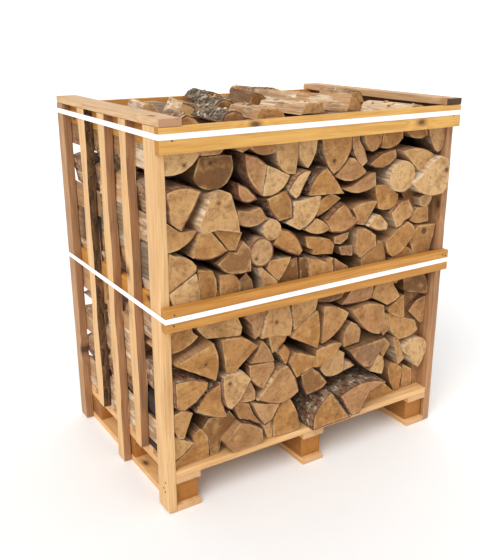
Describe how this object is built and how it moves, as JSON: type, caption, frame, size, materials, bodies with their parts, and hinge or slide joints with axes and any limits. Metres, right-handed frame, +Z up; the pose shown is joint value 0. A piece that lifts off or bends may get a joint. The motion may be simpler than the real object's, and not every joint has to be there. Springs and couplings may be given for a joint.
{
  "type": "firewood crate",
  "caption": "Slatted wooden pallet crate filled with split firewood logs, open at the front and back and banded by flat white straps.",
  "frame": {"origin": "on the floor, under the middle of the crate", "axes": "+Z up, +X to the right and +Y to the back, seen from the front where the log ends show"},
  "size_m": [1.1234, 0.8026, 1.2514],
  "materials": {
    "pallet_wood": "sawn",
    "slat_wood": "sawn",
    "rail_wood": "planed pine",
    "log_wood": "split and barked",
    "strap_plastic": "smooth strap"
  },
  "bodies": {
    "root": {"runner_left": "pallet_wood", "runner_middle": "pallet_wood", "runner_right": "pallet_wood", "block_front_left": "pallet_wood", "block_front_middle": "pallet_wood", "block_front_right": "pallet_wood", "block_middle_left": "pallet_wood", "block_middle_middle": "pallet_wood", "block_middle_right": "pallet_wood", "block_back_left": "pallet_wood", "block_back_middle": "pallet_wood", "block_back_right": "pallet_wood", "stringer_left": "pallet_wood", "stringer_middle": "pallet_wood", "stringer_right": "pallet_wood", "deck_board_1": "pallet_wood", "deck_board_2": "pallet_wood", "deck_board_3": "pallet_wood", "deck_board_4": "pallet_wood", "deck_board_5": "pallet_wood", "left_post_front": "slat_wood", "left_post_middle": "slat_wood", "left_post_back": "slat_wood", "left_slat_front": "slat_wood", "left_slat_back": "slat_wood", "left_cap": "slat_wood", "right_post_front": "slat_wood", "right_post_middle": "slat_wood", "right_post_back": "slat_wood", "right_slat_front": "slat_wood", "right_slat_back": "slat_wood", "right_cap": "slat_wood", "left_inner_rail_upper": "rail_wood", "left_inner_rail_middle": "rail_wood", "right_inner_rail_upper": "rail_wood", "right_inner_rail_middle": "rail_wood", "front_rail_upper": "rail_wood", "front_rail_middle": "rail_wood", "back_rail_upper": "rail_wood", "back_rail_middle": "rail_wood", "strap_upper": "strap_plastic", "strap_middle": "strap_plastic", "log_row_front": "log_wood", "log_row_middle": "log_wood", "log_row_back": "log_wood", "top_log_01": "log_wood", "top_log_02": "log_wood", "top_log_03": "log_wood", "top_log_04": "log_wood", "top_log_05": "log_wood", "top_log_06": "log_wood", "top_log_07": "log_wood", "top_log_08": "log_wood", "top_log_09": "log_wood", "top_log_10": "log_wood", "top_log_11": "log_wood", "top_log_12": "log_wood", "top_log_13": "log_wood", "top_log_14": "log_wood", "top_log_15": "log_wood"}
  },
  "joints": []
}
